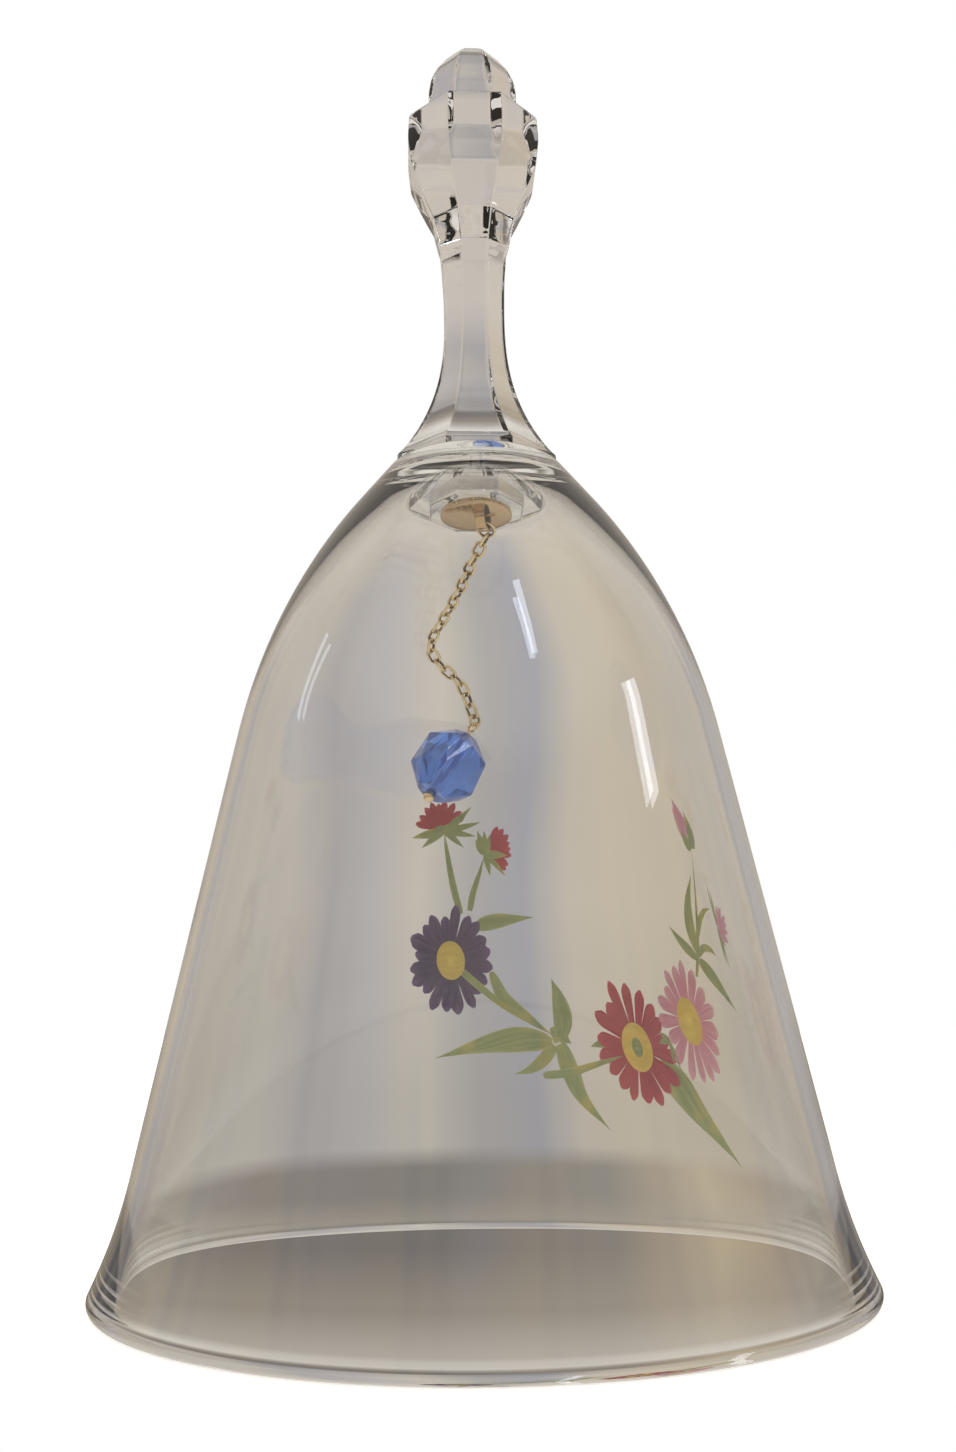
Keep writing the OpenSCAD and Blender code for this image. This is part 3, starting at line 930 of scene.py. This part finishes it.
    def leaves(self, name, table, paint, layer=0.0, blunt=0.8):
        """Leaves along routes: p(t) + w(t) u side, where w goes from the root's half width
        to the middle's and on to the tip: w = (root (1 - t) + (middle - 0.3 root)
        sin(pi t^0.8)^blunt) sqrt(1 - t^4)."""
        t, u = np.linspace(0, 1, 25), np.linspace(-1, 1, 9)
        shapes = []
        for root, wide, route in table:
            k = self.per_degree(route[0][1])
            line = curve_through([(az * k, z) for az, z in route], 12)
            at = t * (len(line) - 1)
            line = np.stack([np.interp(at, np.arange(len(line)), v) for v in line.T], 1)
            way = np.gradient(line, axis=0)
            way /= np.linalg.norm(way, axis=1, keepdims=True)
            side = np.stack([-way[:, 1], way[:, 0]], 1)
            belly = np.sin(math.pi * t**0.8).clip(0, 1) ** blunt
            w = (root * (1 - t) + (wide - 0.3 * root) * belly) * np.sqrt(1.001 - t**4)
            xy = line[:, None] + w[:, None, None] * u[None, :, None] * side[:, None]
            shapes.append(xy / [k, 1])
        across, up = np.moveaxis(np.stack(shapes), -1, 0)
        self.slab(name, across, up, {"along": u**2, "across": u}, paint, layer)


class BELL_OT_stage(bpy.types.Operator):
    """The room, floor, lights and camera"""

    bl_idname = "bell.stage"
    bl_label = "Stage"

    # Tones of the room that shows in the glass, by place in each ninth of a turn: above
    # the eye's level and below it
    HIGH = [
        (0.0, "BDB5AB"), (0.22, "C2BAB2"), (0.29, "ADA7A7"), (0.36, "B8B2B2"), (0.43, "C8BFB4"),
        (0.49, "ABA6A4"), (0.56, "A09FA8"), (0.62, "C8BCAE"), (0.7, "CBBEAA"), (0.8, "C6B9A6"),
    ]
    LOW = [
        (0.0, "837D73"), (0.2, "776F68"), (0.35, "726C69"), (0.46, "6F6A65"), (0.5, "777271"),
        (0.57, "837A70"), (0.64, "817B74"), (0.7, "9F917F"), (0.76, "B4A489"), (0.85, "9A8A77"),
    ]
    # Other tones, linear: the table near the bell, the ceiling and the ground below
    NEAR, WHITE = (0.36, 0.31, 0.25, 1), (1, 1, 1, 1)
    OVER, UNDER = (*linear("D2C8BC"), 1), (*linear("E2DCD4"), 1)
    # Heights, as the z of a direction, between which one tone gives way to the next: low
    # to high, dusk to day in the high tones, low to near, and the room to over and under
    RISE, DUSK, CLOSE = (-0.125, -0.09), (-0.05, 0.09), (-0.17, -0.23)
    TOP, BOTTOM = (0.38, 0.52), (-0.24, -0.4)
    # Angle over which the tones repeat, how far they sway, and where they start
    LAP, SWAY = math.radians(40), 0.12
    START = math.radians(20) - SWAY / 2
    # Soft windows, aimed at TARGET: place, width and height, power and colour
    TARGET = (0, 0, 0.07)
    LIGHTS = [
        ("right window", (0.75, -0.12, 0.47), (0.08, 0.12), 0.15, "F2F4FF"),
        ("left window", (-0.75, 0.05, 0.55), (0.03, 0.2), 0.06, "DCE5FF"),
        ("front window", (0.40, -0.67, 1.05), (0.06, 0.4), 0.5, "E4ECFF"),
    ]
    # Camera: lens in mm, place, and degrees that it looks up and leans
    LENS, EYE, PITCH, ROLL = 33.47, (-0.0004, -0.1549, 0.028), 12.36, 0.6

    def execute(self, context):
        scene = context.scene
        scene.view_settings.view_transform = "Standard"
        self.room(scene)
        self.floor()
        for name, spot, size, power, code in self.LIGHTS:
            data = bpy.data.lights.new(name, "AREA")
            data.shape, data.size, data.size_y = "RECTANGLE", *size
            data.energy, data.color = power, linear(code)
            self.aim(shown(name, data), spot)
        camera = scene.camera = shown("camera", bpy.data.cameras.new("camera"))
        camera.data.sensor_width, camera.data.lens = 36, self.LENS
        camera.location = self.EYE
        camera.rotation_euler = (math.radians(90 + self.PITCH), math.radians(self.ROLL), 0)
        return {"FINISHED"}

    def room(self, scene):
        """World: white where the camera sees it, and a soft room to every other ray. It
        lights dull surfaces more strongly than it shows in the glass."""
        scene.world = bpy.data.worlds.new("room")
        tree = cleared(scene.world)
        ray = add(tree, "ShaderNodeLightPath").outputs
        way = add(tree, "ShaderNodeTexCoord").outputs["Generated"]
        x, y, z = add(tree, "ShaderNodeSeparateXYZ", Vector=way).outputs
        side = maths(tree, "ARCTAN2", x, y)
        sway = maths(tree, "MULTIPLY_ADD", noise(tree, way, 2.5, 1.0), self.SWAY, side)
        lap = maths(tree, "FLOORED_MODULO", maths(tree, "ADD", sway, self.START), self.LAP)
        span = mapped(tree, lap, 0.0, self.LAP)
        bands = []
        for table in (self.LOW, self.HIGH):
            stops = [(at, linear(code)) for at, code in [*table, (1.0, table[0][1])]]
            bands.append(ramp(tree, span, stops))
        dusk = mapped(tree, z, *self.DUSK, 0.8, 0.98)
        high = vectors(tree, "SCALE", _0=bands[1], Scale=dusk)
        low = mixed(tree, mapped(tree, z, *self.CLOSE, 0.0, 0.5), bands[0], self.NEAR)
        tone = mixed(tree, mapped(tree, z, *self.RISE), low, high)
        tone = mixed(tree, mapped(tree, z, *self.TOP, 0.0, 0.75), tone, self.OVER)
        tone = mixed(tree, mapped(tree, z, *self.BOTTOM), tone, self.UNDER)
        tone = mixed(tree, ray["Is Camera Ray"], tone, self.WHITE)
        dull = maths(tree, "MINIMUM", ray["Diffuse Depth"], 1.0)
        power = maths(tree, "MULTIPLY_ADD", dull, 1.1, 1.0)
        glow = add(tree, "ShaderNodeBackground", Color=tone, Strength=power)
        add(tree, "ShaderNodeOutputWorld", Surface=glow.outputs[0])

    def floor(self):
        """A round floor 6 m across, pale to the camera and not there to other rays."""
        disc = np.column_stack([circle(3, 96), np.zeros(96)])
        floor = meshed("floor", disc, [list(range(len(disc)))])
        material = bpy.data.materials.new("pale floor")
        tree = cleared(material)
        seen = add(tree, "ShaderNodeLightPath").outputs["Is Camera Ray"]
        paper = add(tree, "ShaderNodeBsdfDiffuse", Color=(0.8, 0.8, 0.8, 1)).outputs[0]
        lit = add(tree, "ShaderNodeEmission", Color=self.WHITE, Strength=0.45).outputs[0]
        pale = add(tree, "ShaderNodeAddShader", _0=paper, _1=lit).outputs[0]
        through = add(tree, "ShaderNodeBsdfTransparent").outputs[0]
        either = add(tree, "ShaderNodeMixShader", _0=seen, _1=through, _2=pale)
        add(tree, "ShaderNodeOutputMaterial", Surface=either.outputs[0])
        floor.data.materials.append(material)

    def aim(self, lamp, spot):
        """Puts a lamp at spot with its -Z axis towards TARGET."""
        back = unit(np.subtract(spot, self.TARGET))
        right = unit(np.cross((0, 0, 1), back))
        up = np.cross(back, right)
        rows = np.column_stack([right, up, back, spot]).tolist()
        lamp.matrix_world = Matrix([*rows, [0, 0, 0, 1]])


class BELL_PT_panel(bpy.types.Panel):
    """Buttons for the pieces, and the sizes and colours"""

    bl_idname = "BELL_PT_panel"
    bl_label = "Glass Hand Bell"
    bl_space_type = "VIEW_3D"
    bl_region_type = "UI"
    bl_category = "Bell"

    def draw(self, context):
        for operator in OPERATORS:
            self.layout.operator(operator.bl_idname)
        for group in settings(context):
            for key in group.bl_rna.properties.keys():
                if key not in ("rna_type", "name"):
                    self.layout.prop(group, key)


OPERATORS = (
    BELL_OT_shell, BELL_OT_handle, BELL_OT_pad, BELL_OT_chain, BELL_OT_bead, BELL_OT_print,
    BELL_OT_stage,
)


def register():
    for cls in (BellSizes, BellColours, *OPERATORS, BELL_PT_panel):
        bpy.utils.register_class(cls)
    bpy.types.Scene.bell_sizes = bpy.props.PointerProperty(type=BellSizes)
    bpy.types.Scene.bell_colours = bpy.props.PointerProperty(type=BellColours)


def unregister():
    del bpy.types.Scene.bell_colours, bpy.types.Scene.bell_sizes
    for cls in (BELL_PT_panel, *reversed(OPERATORS), BellColours, BellSizes):
        bpy.utils.unregister_class(cls)


def main():
    register()
    for operator in OPERATORS:
        group, name = operator.bl_idname.split(".")
        getattr(getattr(bpy.ops, group), name)()


if __name__ == "__main__":
    main()
